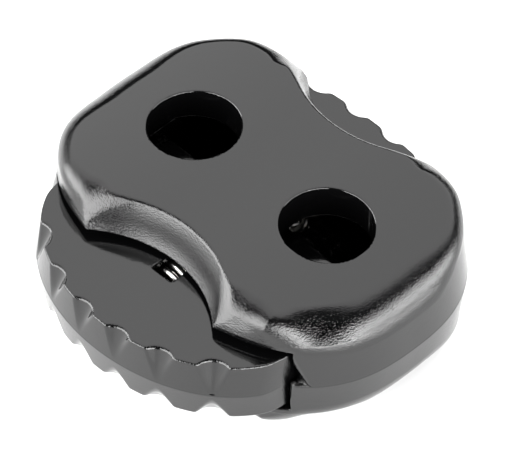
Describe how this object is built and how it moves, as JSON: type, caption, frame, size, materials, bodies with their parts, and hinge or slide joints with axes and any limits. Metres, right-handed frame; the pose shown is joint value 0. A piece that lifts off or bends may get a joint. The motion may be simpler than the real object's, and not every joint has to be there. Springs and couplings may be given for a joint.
{
  "type": "two-hole cord lock",
  "caption": "Oval two-hole cord lock: a moulded housing with a spring-loaded scalloped plunger that grips a pair of cords until it is pressed in.",
  "frame": {"origin": "middle of the flat land on the bottom plate, midway between the two cord holes", "axes": "+X through the two cord holes, +Y the way the plunger is pressed in, so its push face is at -Y, +Z out of the top plate"},
  "size_m": [0.023, 0.0207, 0.0085],
  "materials": {
    "housing_plastic": "satin to glossy black moulded plastic with a faint grain",
    "plunger_plastic": "satin to glossy black moulded plastic with a faint grain",
    "spring_steel": "bright drawn spring wire"
  },
  "bodies": {
    "housing": {"housing": "housing_plastic", "spring": "spring_steel"},
    "plunger": {"plunger": "plunger_plastic"}
  },
  "joints": [
    {"name": "plunger_slide", "type": "slide", "parent": "housing", "child": "plunger", "axis": [0, 1, 0], "range_m": [0, 0.0033], "stiffness_N_per_m": 800, "springref_m": -0.004, "deforming": ["spring"]}
  ]
}
